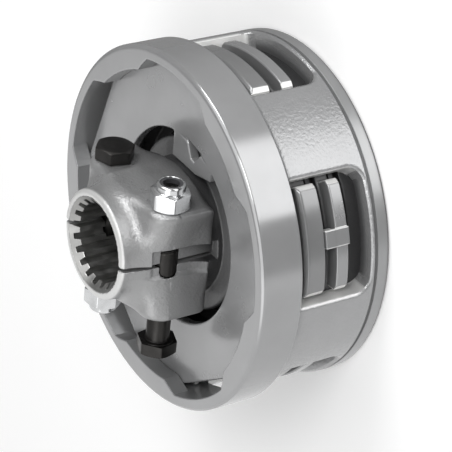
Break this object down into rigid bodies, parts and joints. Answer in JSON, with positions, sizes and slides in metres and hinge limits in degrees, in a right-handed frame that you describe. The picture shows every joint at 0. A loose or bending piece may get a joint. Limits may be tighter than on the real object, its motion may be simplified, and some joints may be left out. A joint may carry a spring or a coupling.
{
  "type": "friction clutch",
  "caption": "Friction slip clutch for a driveline: windowed drum with setting ring, disc spring, pressure plates and lined discs around a splined split clamp hub.",
  "frame": {"origin": "centre of the drum's flat rear face, on the shaft axis", "axes": "+Z along the shaft axis, out of the hub's nose; +X through the middle of one drum window"},
  "size_m": [0.186, 0.186, 0.1138],
  "materials": {
    "drum_paint": "grey enamel over a cast surface, half gloss",
    "ring_paint": "smooth grey enamel, glossy",
    "spring_steel": "flat pressed steel, grey enamel, glossy",
    "plate_steel": "grey enamel, half gloss",
    "core_steel": "plain sheet steel, dull",
    "friction_lining": "dark moulded friction material, matt",
    "hub_cast": "grey enamel over a forged surface, half gloss",
    "black_bolt": "black oxide steel, oiled",
    "bright_nut": "bright zinc plate",
    "nylon": "dark nylon",
    "bronze": "plain bearing bronze"
  },
  "bodies": {
    "drum_side": {"drum_housing": "drum_paint", "setting_ring": "ring_paint", "disc_spring": "spring_steel", "pressure_plate": "plate_steel", "intermediate_plate": "plate_steel", "hub_bush": "bronze", "front_thrust_washer": "bronze", "rear_thrust_washer": "bronze"},
    "hub_side": {"clamp_hub": "hub_cast", "front_drive_plate": "core_steel", "rear_drive_plate": "core_steel", "front_plate_front_lining": "friction_lining", "front_plate_rear_lining": "friction_lining", "rear_plate_front_lining": "friction_lining", "rear_plate_rear_lining": "friction_lining", "retaining_ring": "black_bolt"},
    "near_bolt": {"near_clamp_bolt": "black_bolt", "near_lock_nut": "bright_nut", "near_nut_insert": "nylon"},
    "far_bolt": {"far_clamp_bolt": "black_bolt", "far_lock_nut": "bright_nut", "far_nut_insert": "nylon"}
  },
  "joints": [
    {"name": "slip_rotation", "type": "hinge", "parent": "drum_side", "child": "hub_side", "pos_m": [0, 0, 0.05], "axis": [0, 0, 1], "continuous": true},
    {"name": "near_bolt_slide", "type": "slide", "parent": "hub_side", "child": "near_bolt", "axis": [0.3289, 0.9444, 0], "range_m": [0, 0.0144]},
    {"name": "far_bolt_slide", "type": "slide", "parent": "hub_side", "child": "far_bolt", "axis": [0.3289, 0.9444, 0], "range_m": [0, 0.0144]}
  ]
}
